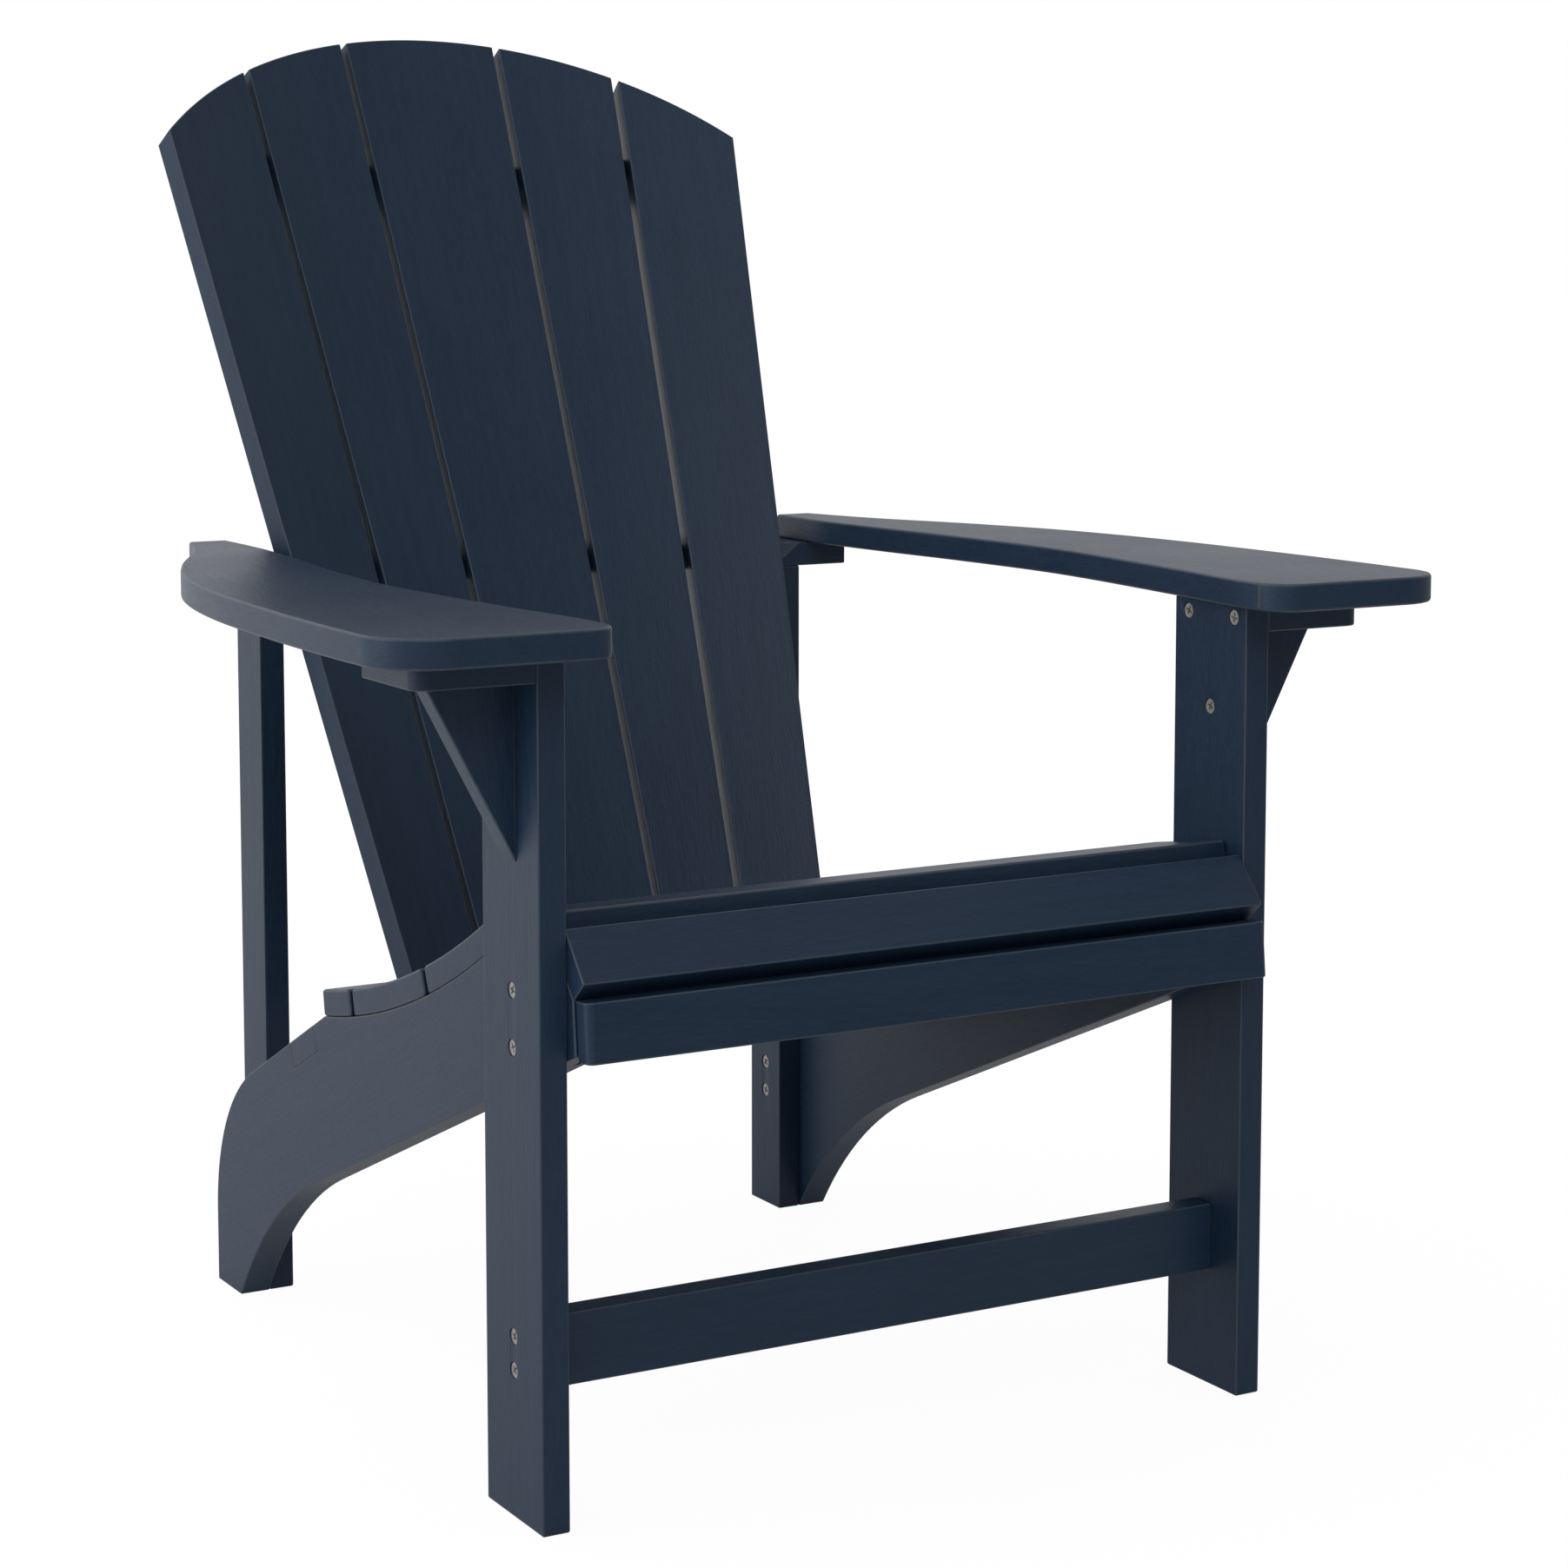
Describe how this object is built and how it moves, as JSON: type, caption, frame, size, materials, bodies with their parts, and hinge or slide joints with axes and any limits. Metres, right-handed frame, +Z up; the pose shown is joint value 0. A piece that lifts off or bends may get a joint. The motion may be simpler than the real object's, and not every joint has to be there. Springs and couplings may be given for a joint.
{
  "type": "adirondack chair",
  "caption": "Outdoor slatted lounge chair with a reclined fan-shaped rounded back, a scooped slatted seat, wide flat arms on bracketed front legs and a low front stretcher.",
  "frame": {"origin": "on the ground, at the centre of the chair's bounding box seen from above", "axes": "+Z up; the chair's front faces -Y; +X to the right of a viewer who looks at its front along +Y, so the chair's right-hand parts here are the ones on that viewer's right"},
  "size_m": [0.8704, 0.9464, 1.0572],
  "materials": {
    "board": "solid navy plastic lumber with a fine embossed grain along each board",
    "screw": "grey flat heads with a cross recess"
  },
  "bodies": {
    "root": {"left_front_leg": "board", "right_front_leg": "board", "left_stringer": "board", "right_stringer": "board", "left_rear_post": "board", "right_rear_post": "board", "front_stretcher": "board", "apron": "board", "nose_board": "board", "front_seat_board": "board", "middle_seat_board": "board", "wide_seat_board": "board", "rear_seat_board": "board", "lower_back_rail": "board", "arm_back_rail": "board", "upper_back_rail": "board", "left_outer_slat": "board", "left_inner_slat": "board", "centre_slat": "board", "right_inner_slat": "board", "right_outer_slat": "board", "left_arm": "board", "right_arm": "board", "left_cleat": "board", "right_cleat": "board", "left_gusset": "board", "right_gusset": "board", "leg_to_stringer_screws": "screw", "leg_to_stretcher_screws": "screw", "leg_to_cleat_screws": "screw", "leg_to_gusset_screws": "screw", "post_to_stringer_screws": "screw", "cleat_to_arm_screws": "screw", "cleat_to_gusset_screws": "screw", "rail_to_arm_screws": "screw", "rail_to_post_screws": "screw", "rail_to_stringer_screws": "screw", "back_slat_screws": "screw", "seat_dowels": "board"}
  },
  "joints": []
}
